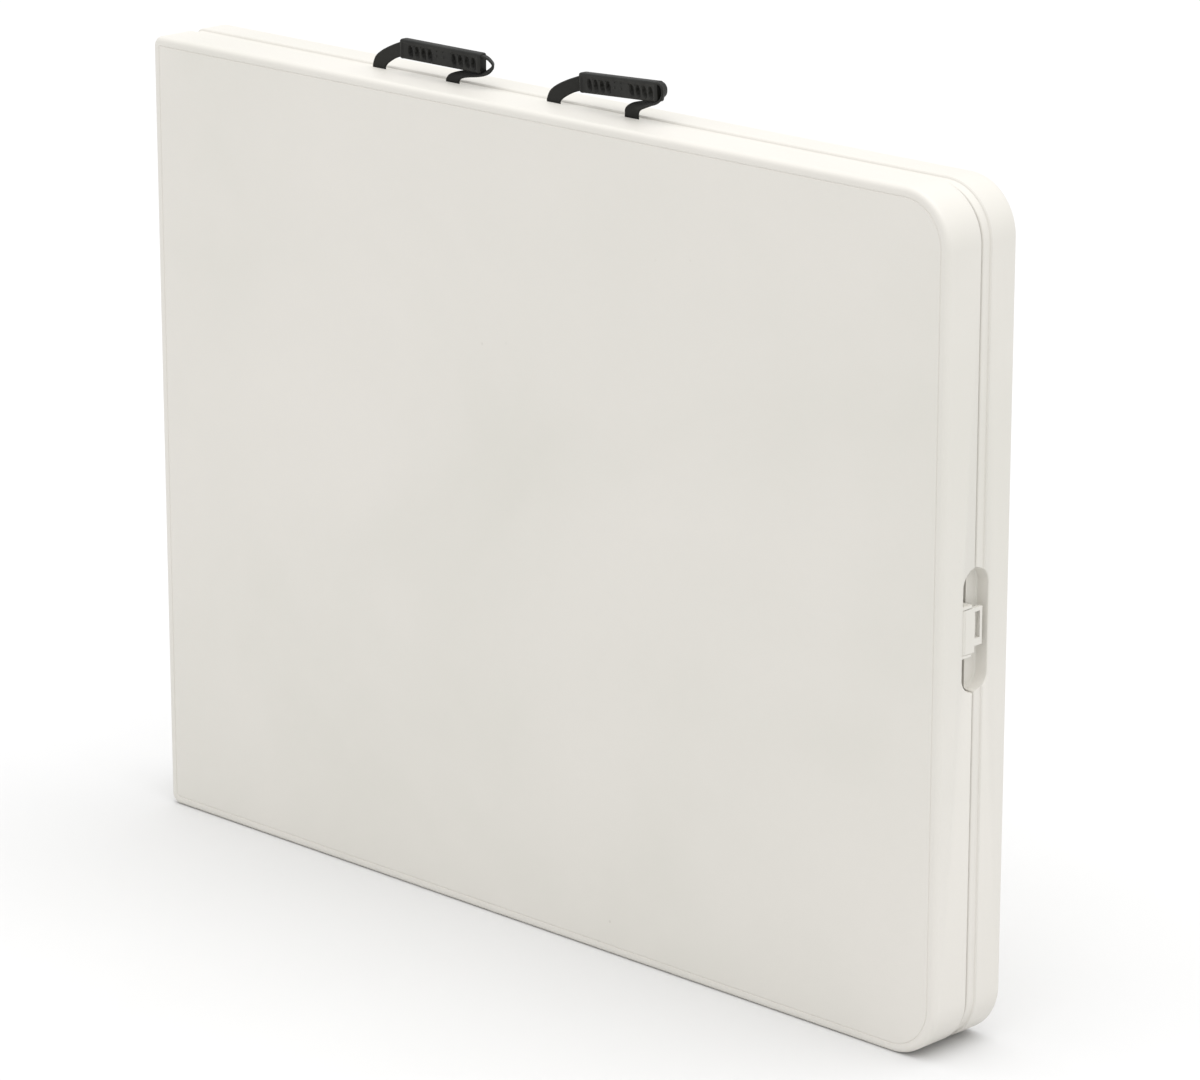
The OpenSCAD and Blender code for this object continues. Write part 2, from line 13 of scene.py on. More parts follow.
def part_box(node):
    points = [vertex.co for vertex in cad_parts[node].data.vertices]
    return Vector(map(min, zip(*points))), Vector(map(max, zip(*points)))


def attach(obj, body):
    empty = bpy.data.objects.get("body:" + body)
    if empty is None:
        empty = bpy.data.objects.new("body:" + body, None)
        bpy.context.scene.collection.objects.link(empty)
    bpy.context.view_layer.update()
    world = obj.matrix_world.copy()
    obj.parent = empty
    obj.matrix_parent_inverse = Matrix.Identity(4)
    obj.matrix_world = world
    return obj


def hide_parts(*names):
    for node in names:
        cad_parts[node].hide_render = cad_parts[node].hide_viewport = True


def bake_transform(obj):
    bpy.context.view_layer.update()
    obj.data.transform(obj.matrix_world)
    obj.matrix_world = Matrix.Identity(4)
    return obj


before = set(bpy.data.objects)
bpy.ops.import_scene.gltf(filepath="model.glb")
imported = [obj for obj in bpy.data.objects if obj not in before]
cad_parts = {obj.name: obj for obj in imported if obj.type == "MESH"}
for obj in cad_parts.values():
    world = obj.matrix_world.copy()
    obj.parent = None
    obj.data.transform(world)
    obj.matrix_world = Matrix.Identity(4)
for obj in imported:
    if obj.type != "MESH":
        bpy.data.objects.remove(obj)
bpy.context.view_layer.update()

MM = 0.001
FRONT, REAR = -1, 1

# ---------------------------------------------------------------- measures, from the frame
shell_lo, shell_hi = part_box("front_half_shell")
TABLE_W = shell_hi.z / MM
HALF_LEN = 978.0
HALF_T = -shell_lo.y / MM
FOLD_X = shell_hi.x / MM - HALF_LEN
MID_Z = TABLE_W / 2
SEAM_W = 1.5
END_GAP = 0.4
OPEN_R = 49.0
FOLD_R = 10.0
EDGE_ROUND = 5.0
RIM_W = 24.0
FLOOR_W = 27.0
GROOVE_INSET = 8.7
GROOVE_HALF = 0.8
GROOVE_DEEP = 0.55


# ---------------------------------------------------------------- mesh helpers
def mesh(name, verts, faces, material, smooth_angle=28, smooth=True):
    """A mesh object from vertices in millimetres, with outward normals and sharp edges over an angle."""
    data = bpy.data.meshes.new(name)
    bm = bmesh.new()
    made = [bm.verts.new(Vector(v) * MM) for v in verts]
    for f in faces:
        try:
            bm.faces.new([made[i] for i in f])
        except ValueError:
            pass
    bmesh.ops.recalc_face_normals(bm, faces=bm.faces[:])
    bm.to_mesh(data)
    bm.free()
    return dress(name, data, material, smooth_angle, smooth)


def dress(name, data, material, smooth_angle=28, smooth=True):
    """Wraps mesh data in an object with its material and shading."""
    obj = bpy.data.objects.new(name, data)
    bpy.context.scene.collection.objects.link(obj)
    if smooth:
        data.shade_smooth()
        data.set_sharp_from_angle(angle=math.radians(smooth_angle))
    if material:
        data.materials.append(material)
    return obj


def arc(cu, cw, r, a0, a1, n):
    """Points of an arc, from angle a0 to a1 in degrees."""
    return [
        (cu + r * math.cos(math.radians(a0 + (a1 - a0) * k / n)),
         cw + r * math.sin(math.radians(a0 + (a1 - a0) * k / n)))
        for k in range(n + 1)
    ]


def catmull(points, per_span):
    """Points on a smooth curve through the given tuples, any number of coordinates each."""
    pts = [points[0]] + list(points) + [points[-1]]
    out = []
    for i in range(1, len(pts) - 2):
        p0, p1, p2, p3 = pts[i - 1:i + 3]
        for k in range(per_span):
            t = k / per_span
            out.append(tuple(
                0.5 * (2 * b + (c - a) * t + (2 * a - 5 * b + 4 * c - d) * t * t
                       + (3 * b - 3 * c + d - a) * t ** 3)
                for a, b, c, d in zip(p0, p1, p2, p3)))
    out.append(tuple(points[-1]))
    return out


def cutter_object(name, parts):
    """One object from closed meshes, each (verts, faces), used as a boolean cutter."""
    verts, faces = [], []
    for v, f in parts:
        base = len(verts)
        verts += v
        faces += [[i + base for i in face] for face in f]
    return mesh(name, verts, faces, None, smooth=False)


def block(lo, hi):
    """The vertices and faces of a box."""
    v = [(x, y, z) for x in (lo[0], hi[0]) for y in (lo[1], hi[1]) for z in (lo[2], hi[2])]
    return v, [(0, 1, 3, 2), (4, 6, 7, 5), (0, 4, 5, 1), (2, 3, 7, 6), (0, 2, 6, 4), (1, 5, 7, 3)]


def loft(rings, cap_first=True, cap_last=True):
    """Vertices and faces of a skin over closed rings of equal length."""
    n = len(rings[0])
    verts = [p for ring in rings for p in ring]
    faces = [
        (r * n + k, r * n + (k + 1) % n, (r + 1) * n + (k + 1) % n, (r + 1) * n + k)
        for r in range(len(rings) - 1) for k in range(n)
    ]
    if cap_first:
        faces.append(tuple(range(n)))
    if cap_last:
        faces.append(tuple(range(len(verts) - n, len(verts))))
    return verts, faces


def apply_modifiers(obj):
    """Bakes an object's modifiers into its mesh."""
    graph = bpy.context.evaluated_depsgraph_get()
    data = bpy.data.meshes.new_from_object(obj.evaluated_get(graph))
    old = obj.data
    obj.modifiers.clear()
    obj.data = data
    bpy.data.meshes.remove(old)


def cut(obj, cutter):
    """Takes the cutter away from the object, and stops the script if the cut changes its size."""
    size = obj.dimensions.copy()
    mod = obj.modifiers.new("cut", "BOOLEAN")
    mod.operation, mod.solver, mod.object = "DIFFERENCE", "EXACT", cutter
    bpy.context.view_layer.update()
    apply_modifiers(obj)
    bpy.data.objects.remove(cutter)
    bpy.context.view_layer.update()
    if not obj.data.polygons or (obj.dimensions - size).length > 1.0 * MM:
        raise RuntimeError("the cut spoiled " + obj.name)
    obj.data.shade_smooth()
    obj.data.set_sharp_from_angle(angle=math.radians(28))


# ---------------------------------------------------------------- materials
class Nodes:
    """Short forms for building a node material."""

    def __init__(self, name):
        self.material = bpy.data.materials.new(name)
        self.material.use_nodes = True
        self.tree = self.material.node_tree
        self.shader = self.tree.nodes["Principled BSDF"]
        self.coords = self.tree.nodes.new("ShaderNodeTexCoord").outputs["Object"]

    def add(self, kind, **sockets):
        node = self.tree.nodes.new(kind)
        for key, value in sockets.items():
            socket = node.inputs[key.replace("_", " ")]
            if isinstance(value, bpy.types.NodeSocket):
                self.tree.links.new(value, socket)
            else:
                socket.default_value = value
        return node

    def noise(self, scale, detail=3.0, roughness=0.5, distortion=0.0, vector=None):
        node = self.add("ShaderNodeTexNoise", Scale=scale, Detail=detail, Roughness=roughness,
                        Distortion=distortion, Vector=vector or self.coords)
        return node.outputs["Fac"]

    def voronoi(self, scale, feature="F1"):
        node = self.add("ShaderNodeTexVoronoi", Scale=scale, Vector=self.coords)
        node.feature = feature
        return node.outputs["Distance"]

    def ramp(self, value, stops):
        node = self.add("ShaderNodeValToRGB", Fac=value)
        ramp = node.color_ramp
        while len(ramp.elements) < len(stops):
            ramp.elements.new(0.5)
        for element, (place, colour) in zip(ramp.elements, stops):
            element.position = place
            element.color = colour if len(colour) == 4 else (*colour, 1)
        return node.outputs["Color"]

    def span(self, value, lo, hi, from_lo=0.0, from_hi=1.0):
        node = self.add("ShaderNodeMapRange", Value=value)
        for key, number in (("From Min", from_lo), ("From Max", from_hi), ("To Min", lo), ("To Max", hi)):
            node.inputs[key].default_value = number
        return node.outputs["Result"]

    def mix(self, factor, a, b, mode="MIX"):
        node = self.tree.nodes.new("ShaderNodeMix")
        node.data_type, node.blend_type = "RGBA", mode
        for socket, value in ((node.inputs[0], factor), (node.inputs[6], a), (node.inputs[7], b)):
            if isinstance(value, bpy.types.NodeSocket):
                self.tree.links.new(value, socket)
            else:
                needs_alpha = isinstance(value, tuple) and len(value) != 4
                socket.default_value = (*value, 1) if needs_alpha else value
        return node.outputs[2]

    def add_up(self, a, b, operation="ADD"):
        node = self.tree.nodes.new("ShaderNodeMath")
        node.operation = operation
        for socket, value in ((node.inputs[0], a), (node.inputs[1], b)):
            if isinstance(value, bpy.types.NodeSocket):
                self.tree.links.new(value, socket)
            else:
                socket.default_value = value
        return node.outputs[0]

    def bump(self, height, strength, distance, normal=None):
        node = self.add("ShaderNodeBump", Strength=strength, Distance=distance, Height=height)
        if normal:
            self.tree.links.new(normal, node.inputs["Normal"])
        return node.outputs["Normal"]

    def stretched(self, x, y, z):
        node = self.tree.nodes.new("ShaderNodeMapping")
        node.inputs["Scale"].default_value = (x, y, z)
        self.tree.links.new(self.coords, node.inputs["Vector"])
        return node.outputs["Vector"]

    def finish(self, colour=None, roughness=None, normal=None, **fixed):
        for key, value in (("Base Color", colour), ("Roughness", roughness), ("Normal", normal)):
            if isinstance(value, bpy.types.NodeSocket):
                self.tree.links.new(value, self.shader.inputs[key])
            elif value is not None:
                self.shader.inputs[key].default_value = value
        for key, value in fixed.items():
            self.shader.inputs[key.replace("_", " ")].default_value = value
        return self.material


def moulded_shell():
    """Ivory blow-moulded polyethylene: faint clouding, a fine pebble and a few specks in the resin."""
    n = Nodes("moulded_shell")
    clouds = n.noise(3.2, 3.0, 0.55, 0.4)
    base = n.ramp(clouds, [(0.30, (0.702, 0.684, 0.630)), (0.5, (0.728, 0.706, 0.656)),
                           (0.72, (0.750, 0.724, 0.676))])
    fine = n.noise(85.0, 4.0, 0.6)
    colour = n.mix(n.span(fine, 0.0, 0.10), base, (0.67, 0.66, 0.615))
    speck = n.span(n.voronoi(26.0), 1.0, 0.0, 0.012, 0.05)
    rare = n.span(n.noise(9.0, 1.0), 0.0, 0.32, 0.60, 0.64)
    colour = n.mix(n.add_up(speck, rare, "MULTIPLY"), colour, (0.42, 0.39, 0.34))
    rough = n.span(n.noise(38.0, 3.0, 0.6), 0.40, 0.54)
    pebble = n.noise(620.0, 3.0, 0.55)
    drift = n.noise(14.0, 2.0, 0.5)
    normal = n.bump(drift, 0.06, 0.004)
    normal = n.bump(pebble, 0.22, 0.00025, normal)
    return n.finish(colour, rough, normal, IOR=1.5)


def painted_steel():
    """Grey powder coat: a fine orange peel with darker rubbed patches."""
    n = Nodes("powder_coated_steel")
    patches = n.noise(7.0, 5.0, 0.6)
    colour = n.ramp(patches, [(0.3, (0.21, 0.215, 0.22)), (0.62, (0.27, 0.275, 0.28)),
                              (0.8, (0.31, 0.31, 0.315))])
    scuffs = n.span(n.noise(34.0, 6.0, 0.7, 0.6, n.stretched(1.0, 1.0, 0.25)), 0.0, 0.35, 0.60, 0.74)
    colour = n.mix(scuffs, colour, (0.40, 0.40, 0.40))
    rough = n.span(n.noise(60.0, 3.0), 0.36, 0.52)
    normal = n.bump(n.noise(900.0, 2.0, 0.5), 0.25, 0.0002)
    return n.finish(colour, rough, normal, Metallic=0.25)


def zinc_steel():
    """Bright zinc plating, drawn along its length and slightly clouded."""
    n = Nodes("zinc_plated_steel")
    spangle = n.noise(120.0, 3.0, 0.6)
    colour = n.ramp(spangle, [(0.3, (0.52, 0.53, 0.54)), (0.7, (0.70, 0.70, 0.69))])
    lines = n.noise(1.0, 3.0, 0.6, 0.0, n.stretched(60.0, 900.0, 900.0))
    rough = n.span(lines, 0.22, 0.42)
    normal = n.bump(lines, 0.12, 0.0001)
    return n.finish(colour, rough, normal, Metallic=1.0)


def black_plastic(name, dark, light, stipple, rough_lo, rough_hi, specular=0.45):
    """Black moulded plastic with a stippled skin and rubbed, lighter patches."""
    n = Nodes(name)
    worn = n.noise(46.0, 4.0, 0.6)
    colour = n.ramp(worn, [(0.35, dark), (0.75, light)])
    rough = n.span(n.noise(210.0, 2.0), rough_lo, rough_hi)
    normal = n.bump(n.noise(stipple, 3.0, 0.6), 0.45, 0.00035)
    return n.finish(colour, rough, normal, Specular_IOR_Level=specular)


def webbing():
    """Black woven strap: fine slanting ribs, crossed by the weft."""
    n = Nodes("strap_webbing")
    waves = []
    for turn in (0.6, -0.6):
        rotated = n.tree.nodes.new("ShaderNodeMapping")
        rotated.inputs["Rotation"].default_value = (0.0, turn, 0.0)
        n.tree.links.new(n.coords, rotated.inputs["Vector"])
        wave = n.add("ShaderNodeTexWave", Scale=260.0, Distortion=0.6, Detail=1.0,
                     Vector=rotated.outputs["Vector"])
        waves.append(wave.outputs["Fac"])
    weave = n.add_up(waves[0], waves[1], "MULTIPLY")
    fuzz = n.noise(700.0, 3.0, 0.7)
    colour = n.mix(weave, (0.006, 0.006, 0.005), (0.017, 0.017, 0.015))
    colour = n.mix(n.span(fuzz, 0.0, 0.35), colour, (0.030, 0.030, 0.026))
    normal = n.bump(weave, 0.5, 0.0003)
    normal = n.bump(fuzz, 0.3, 0.0002, normal)
    return n.finish(colour, n.span(fuzz, 0.55, 0.8), normal, Specular_IOR_Level=0.25,
                    Sheen_Weight=0.06, Sheen_Roughness=0.5)


SHELL = moulded_shell()
STEEL = painted_steel()
ZINC = zinc_steel()
FOOT = black_plastic("foot_plastic", (0.020, 0.020, 0.020), (0.045, 0.045, 0.043), 420.0, 0.45, 0.6)
GRIP = black_plastic("grip_plastic", (0.007, 0.007, 0.006), (0.018, 0.018, 0.015), 520.0, 0.45, 0.62, 0.32)
STRAP = webbing()

# ---------------------------------------------------------------- the camera, the floor and the light
VIEW_FROM = Vector((3.1524, -3.2092, 1.6938))
VIEW_YAW = -43.994
VIEW_PITCH = 16.541
VIEW_LENS = 156.07
SENSOR_W = 36.0
WORLD_STRENGTH = 0.84
SUN_TOWARDS = (0.16, -0.03, 1.0)
SUN_STRENGTH = 1.85
SUN_ANGLE = 70.0
FLOOR_HALF = 30000.0

camera_data = bpy.data.cameras.new("camera")
camera_data.lens, camera_data.sensor_width = VIEW_LENS, SENSOR_W
camera_data.clip_start, camera_data.clip_end = 0.05, 60.0
camera = bpy.data.objects.new("camera", camera_data)
camera.location = VIEW_FROM
camera.rotation_euler = (math.radians(90 - VIEW_PITCH), 0.0, math.radians(-VIEW_YAW))
bpy.context.scene.collection.objects.link(camera)
bpy.context.scene.camera = camera

scene = bpy.context.scene
scene.view_settings.view_transform = "Standard"
scene.view_settings.look = "None"
world = bpy.data.worlds.new("studio")
world.use_nodes = True
world.node_tree.nodes["Background"].inputs["Color"].default_value = (1.0, 1.0, 1.0, 1)
world.node_tree.nodes["Background"].inputs["Strength"].default_value = WORLD_STRENGTH
scene.world = world


def sun(name, towards, strength, angle):
    """A soft distant light that comes from the direction given."""
    data = bpy.data.lights.new(name, "SUN")
    data.energy, data.angle = strength, math.radians(angle)
    obj = bpy.data.objects.new(name, data)
    obj.rotation_euler = Vector(towards).to_track_quat("Z", "Y").to_euler()
    scene.collection.objects.link(obj)


sun("overhead", SUN_TOWARDS, SUN_STRENGTH, SUN_ANGLE)


def floor():
    """A wide pale studio floor with a faint, uneven sheen."""
    n = Nodes("studio_floor")
    tone = n.ramp(n.noise(1.3, 3.0), [(0.3, (0.725, 0.725, 0.725)), (0.7, (0.745, 0.745, 0.745))])
    n.finish(tone, n.span(n.noise(6.0, 2.0), 0.75, 0.9), None)
    n.shader.inputs["Specular IOR Level"].default_value = 0.2
    half = FLOOR_HALF
    obj = mesh("studio_floor", [(-half, -half, 0), (half, -half, 0), (half, half, 0), (-half, half, 0)],
               [(0, 1, 2, 3)], n.material, smooth=False)


floor()


# ---------------------------------------------------------------- the two moulded halves
def ring(inset, w, side, n_open=18, n_fold=8):
    """A half's outline moved in by inset, at depth w, as points in the row frame."""
    r_open, r_fold = max(OPEN_R - inset, 3.0), max(FOLD_R - inset, 3.0)
    u0, u1 = END_GAP + inset, HALF_LEN - inset
    z0, z1 = inset, TABLE_W - inset
    corners = ((u1 - r_open, z0 + r_open, r_open, -90, n_open), (u1 - r_open, z1 - r_open, r_open, 0, n_open),
               (u0 + r_fold, z1 - r_fold, r_fold, 90, n_fold),
               (u0 + r_fold, z0 + r_fold, r_fold, 180, n_fold))
    return [(FOLD_X + u, side * w, z) for cu, cz, r, a, n in corners for u, z in arc(cu, cz, r, a, a + 90, n)]


FACE_PROFILE = (
    [(GROOVE_INSET + GROOVE_HALF + 1.2, HALF_T), (GROOVE_INSET + GROOVE_HALF, HALF_T),
     (GROOVE_INSET + 0.35, HALF_T - GROOVE_DEEP), (GROOVE_INSET - 0.35, HALF_T - GROOVE_DEEP),
     (GROOVE_INSET - GROOVE_HALF, HALF_T), (EDGE_ROUND + 0.9, HALF_T)]
    + [(EDGE_ROUND - a, HALF_T - EDGE_ROUND + b) for a, b in arc(0, 0, EDGE_ROUND, 90, 0, 7)]
    + [(0.0, HALF_T - EDGE_ROUND - 0.9)]
)
FRONT_SEAM = (
    [(0.0, 4.9)] + [(2.5 - a, SEAM_W + 2.5 - b) for a, b in arc(0, 0, 2.5, 0, 90, 5)] + [(3.4, SEAM_W)]
)
REAR_SEAM = (
    [(0.0, 12.2), (0.0, 11.4), (0.5, 10.7), (1.3, 10.1), (1.9, 9.9), (2.2, 9.3), (2.3, 4.4)]
    + [(2.3 + 1.8 - a, SEAM_W + 1.8 - b) for a, b in arc(0, 0, 1.8, 0, 90, 4)] + [(5.0, SEAM_W)]
)
RECESS_PROFILE = (
    [(RIM_W - 3.0, SEAM_W)] + [(RIM_W - 2.0 + a, SEAM_W + 2.0 - b) for a, b in arc(0, 0, 2.0, 90, 0, 4)]
    + [(RIM_W + 0.1, 6.0), (RIM_W + 0.4, FLOOR_W - 1.6), (RIM_W + 0.9, FLOOR_W - 0.5), (RIM_W + 1.9, FLOOR_W),
       (RIM_W + 3.0, FLOOR_W)]
)
DIMPLE_RADII = [(14.6, 0.0), (13.6, 0.25), (12.7, 1.1), (11.2, 3.2), (6.4, 9.6), (5.2, 11.0), (3.2, 11.8)]
DIMPLE_US = [105 + 110 * i for i in range(8)]
DIMPLE_ZS = [MID_Z + 120 * (i - 2) for i in range(5)]
DIMPLE_SIDES = 28


def half_skin(name, side):
    """The skin of one half: face with its groove, rim, hollow underside and moulded dimples."""
    profile = FACE_PROFILE + (FRONT_SEAM if side == FRONT else REAR_SEAM) + RECESS_PROFILE
    rings = [ring(inset, w, side) for inset, w in profile]
    n = len(rings[0])
    bm = bmesh.new()
    made = [[bm.verts.new(Vector(p) * MM) for p in r] for r in rings]
    for a, b in zip(made, made[1:]):
        for k in range(n):
            bm.faces.new((a[k], a[(k + 1) % n], b[(k + 1) % n], b[k]))
    bm.faces.new(made[0])
    edges = [bm.edges.get((made[-1][k], made[-1][(k + 1) % n])) for k in range(n)]
    for u in DIMPLE_US:
        for z in DIMPLE_ZS:
            levels = []
            for r, deep in DIMPLE_RADII:
                levels.append([bm.verts.new(Vector((FOLD_X + u + a, side * (FLOOR_W + deep), z + b)) * MM)
                               for a, b in arc(0, 0, r, 0, 360, DIMPLE_SIDES)[:-1]])
            for a, b in zip(levels, levels[1:]):
                for k in range(DIMPLE_SIDES):
                    bm.faces.new((a[k], a[(k + 1) % DIMPLE_SIDES], b[(k + 1) % DIMPLE_SIDES], b[k]))
            bm.faces.new(levels[-1])
            rim = levels[0]
            edges += [bm.edges.get((rim[k], rim[(k + 1) % DIMPLE_SIDES])) for k in range(DIMPLE_SIDES)]
    bmesh.ops.triangle_fill(bm, use_beauty=True, use_dissolve=False, edges=edges)
    bmesh.ops.recalc_face_normals(bm, faces=bm.faces[:])
    data = bpy.data.meshes.new(name)
    bm.to_mesh(data)
    bm.free()
    return dress(name, data, SHELL)


RECESS_H = 110.0
RECESS_R = 16.2
RECESS_DEEP = 13.0
HINGE_NOTCH_LO, HINGE_NOTCH_HI, HINGE_NOTCH_W = 24.4, 67.6, 7.3
TAIL_SEAT_HALF, TAIL_SEAT_W = 12.5, 6.4
TAIL_SEAT_TOP, TAIL_SEAT_BOTTOM = 11.1, 18.9
POCKET_DEEP = 14.0
POCKET_W0, POCKET_W1 = 0.9, 7.1
POCKET_DOWN, POCKET_UP = 7.4, 15.9
TAIL_END_TO_FOOT = 12.0


def slot_ring(extra, depth):
    """The outline of the finger recess, grown by extra, at a depth below the open end."""
    r, reach = RECESS_R + extra, RECESS_H / 2 - RECESS_R
    pts = arc(0, reach, r, 0, 180, 16) + arc(0, -reach, r, 180, 360, 16)
    return [(FOLD_X + HALF_LEN - depth, y, MID_Z + z) for y, z in pts]


def recess_cutter():
    """The finger recess as a solid, with a rounded mouth and a floor that rounds into its walls."""
    steps = [(1.4, -3.0), (1.4, 0.0), (0.7, 0.35), (0.15, 0.95), (0.0, 1.8), (-0.3, RECESS_DEEP - 2.2),
             (-0.9, RECESS_DEEP - 0.8), (-2.2, RECESS_DEEP)]
    return loft([slot_ring(extra, depth) for extra, depth in steps])


def shell_cutters(side, feet):
    """What the other parts need cut out of one half: recess, hinge notches and seats of the strap tails."""
    parts = [recess_cutter()]
    for z0, z1 in ((HINGE_NOTCH_LO, HINGE_NOTCH_HI), (TABLE_W - HINGE_NOTCH_HI, TABLE_W - HINGE_NOTCH_LO)):
        ys = sorted((side * -1.0, side * HINGE_NOTCH_W))
        parts.append(block((FOLD_X - 2, ys[0], z0), (FOLD_X + RIM_W + 6.0, ys[1], z1)))
    for x in feet:
        ys = sorted((side * -1.0, side * TAIL_SEAT_W))
        parts.append(block((x - TAIL_SEAT_HALF, ys[0], TABLE_W - TAIL_SEAT_BOTTOM),
                           (x + TAIL_SEAT_HALF, ys[1], TABLE_W - TAIL_SEAT_TOP)))
    return cutter_object("cutter", parts)


def catch_pocket():
    """The hole behind the catch in the rear half, cut on its own because it runs into the recess."""
    floor_x = FOLD_X + HALF_LEN - RECESS_DEEP
    return cutter_object("pocket", [block((floor_x - POCKET_DEEP, POCKET_W0, MID_Z - POCKET_DOWN),
                                          (floor_x + 1.0, POCKET_W1, MID_Z + POCKET_UP))])


def feet_of(handle):
    """The X places of a handle's two feet, in millimetres."""
    lo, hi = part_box("handle_anchor_" + handle)
    return [lo.x / MM + TAIL_END_TO_FOOT, hi.x / MM - TAIL_END_TO_FOOT]


for side, name, node, body, handle in ((FRONT, "front_half_skin", "front_half_shell", "front_half", "right"),
                                       (REAR, "rear_half_skin", "rear_half_shell", "rear_half", "left")):
    skin = half_skin(name, side)
    cut(skin, shell_cutters(side, feet_of(handle)))
    if side == REAR:
        cut(skin, catch_pocket())
    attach(skin, body)
    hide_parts(node)

# ---------------------------------------------------------------- the carry handles
STRAP_THICK = 2.0
STRAP_SECTION = [(0.0, 0.0), (0.03, 0.7), (0.09, 1.0), (0.16, 0.78), (0.30, 0.96), (0.5, 0.84), (0.70, 0.96),
                 (0.84, 0.78), (0.91, 1.0), (0.97, 0.7), (1.0, 0.0)]


def band(edge_a, edge_b, per_span=6):
    """A flat strap between two edge curves, with thick selvedges and a ribbed middle: vertices and faces."""
    a_side = [Vector(p) for p in catmull(edge_a, per_span)]
    b_side = [Vector(p) for p in catmull(edge_b, per_span)]
    middles = [(a + b) / 2 for a, b in zip(a_side, b_side)]
    rings = []
    for i, (a, b) in enumerate(zip(a_side, b_side)):
        along = middles[min(i + 1, len(middles) - 1)] - middles[max(i - 1, 0)]
        out = (b - a).cross(along).normalized() * (STRAP_THICK / 2)
        upper = [a + (b - a) * t + out * h for t, h in STRAP_SECTION]
        lower = [a + (b - a) * t - out * h for t, h in reversed(STRAP_SECTION[1:-1])]
        rings.append([tuple(v) for v in upper + lower])
    return loft(rings)


def bead(x, y, z, r, length, sides=16):
    """The round bead in which a strap's tail ends, lying along X."""
    profile = [(-length / 2, 0.35 * r), (-length / 2 + 0.3, 0.75 * r), (-length / 2 + 1.2, r),
               (length / 2 - 1.2, r), (length / 2 - 0.3, 0.75 * r), (length / 2, 0.35 * r)]
    return loft([[(x + dx, y + a, z + b) for a, b in arc(0, 0, rad, 0, 360, sides)[:-1]]
                 for dx, rad in profile])


def joined(parts):
    """Several (verts, faces) as one."""
    verts, faces = [], []
    for v, f in parts:
        base = len(verts)
        verts += v
        faces += [tuple(i + base for i in face) for face in f]
    return verts, faces


def placed(points, x, turn, lift):
    """Edge points given from a foot of the strap; they take their share of where the grip's end lies."""
    return [(x + dx, dy + share * turn, TABLE_W + dz + share * lift) for dx, dy, dz, share in points]


# (along X from the foot, along Y, above the table's edge, share of the grip's turn and lift)
LEFT_A = [(-8.5, 0, -15, 0), (-8.5, 0, -3, 0), (-8.3, 0, 2, 0), (-5.0, 0, 9.5, 0.1), (2.5, 0, 15.5, 0.25),
          (13, 0, 21.0, 0.5), (24, 0, 25.6, 0.8), (33, 0, 28.6, 1), (41, 0, 29.0, 0.9)]
LEFT_B = [(8.5, 0, -15, 0), (8.5, 0, -3, 0), (8.7, 0, 1.2, 0), (11.5, 0, 4.6, 0.2), (16.5, 0, 8.0, 0.4),
          (22, 0, 11.0, 0.6), (28.5, 0, 13.4, 0.85), (35, 0, 15.0, 1), (41, 0, 15.5, 0.9)]
LOOP_A = [(-8.5, 0, -15, 0), (-8.5, 0, -3, 0), (-8.3, 0, 1.5, 0), (-5.0, 1.0, 6.0, 0), (2.5, 2.6, 9.0, 0.1),
          (13, 4.2, 11.4, 0.35), (25, 5.0, 12.2, 0.7), (35, 4.6, 12.9, 1), (43, 4.2, 16.6, 1),
          (47.6, 4.2, 21.8, 1), (42.5, 4.0, 26.6, 1), (35.5, 3.6, 28.8, 1), (31, 3.0, 28.4, 0.9)]
LOOP_B = [(8.5, 0, -15, 0), (8.5, 0, -3, 0), (8.9, 0, 1.2, 0), (10.5, -0.4, 3.4, 0), (15.0, -1.2, 5.4, 0.1),
          (23, -2.0, 7.4, 0.35), (33, -2.6, 9.2, 0.7), (43, -3.4, 11.8, 1), (51, -4.2, 15.4, 1),
          (55.6, -4.2, 21.4, 1), (50.5, -4.0, 26.2, 1), (42.5, -3.6, 28.4, 1), (37, -3.0, 27.6, 0.9)]
RISER_A = [(-8.5, 0, -15, 0), (-8.5, 0, -3, 0), (-8.5, 0, 2, 0), (-8.0, 0.6, 7.5, 0), (-1.5, 2.4, 11.6, 0.1),
           (10, 4.4, 13.0, 0.35), (22, 5.4, 13.4, 0.75), (33, 5.4, 15.0, 1), (39.5, 5.2, 19.0, 1),
           (41.0, 5.0, 24.0, 1), (39.5, 4.6, 27.6, 1), (36, 4.2, 29.2, 1), (31, 3.6, 28.6, 0.9)]
RISER_B = [(8.5, 0, -15, 0), (8.5, 0, -3, 0), (8.5, 0, 2, 0), (9.5, -0.8, 5.2, 0), (14.0, -2.8, 8.0, 0.1),
           (21.5, -4.8, 9.6, 0.35), (30, -5.4, 10.4, 0.75), (38.5, -5.4, 12.0, 1), (43.6, -5.2, 16.8, 1),
           (44.6, -5.0, 22.6, 1), (42.6, -4.6, 27.4, 1), (38.5, -4.2, 29.2, 1), (33, -3.6, 28.6, 0.9)]

GRIP_LEN, GRIP_H, GRIP_T = 103.0, 18.0, 10.0
OVALS = [-37.0, -28.6, -20.2, -12.0, 18.6, 27.0, 35.4, 43.4]
OVAL_A, OVAL_B, OVAL_DEEP, OVAL_LEAN = 2.9, 5.8, 2.7, 0.16
OVAL_Z = 7.6


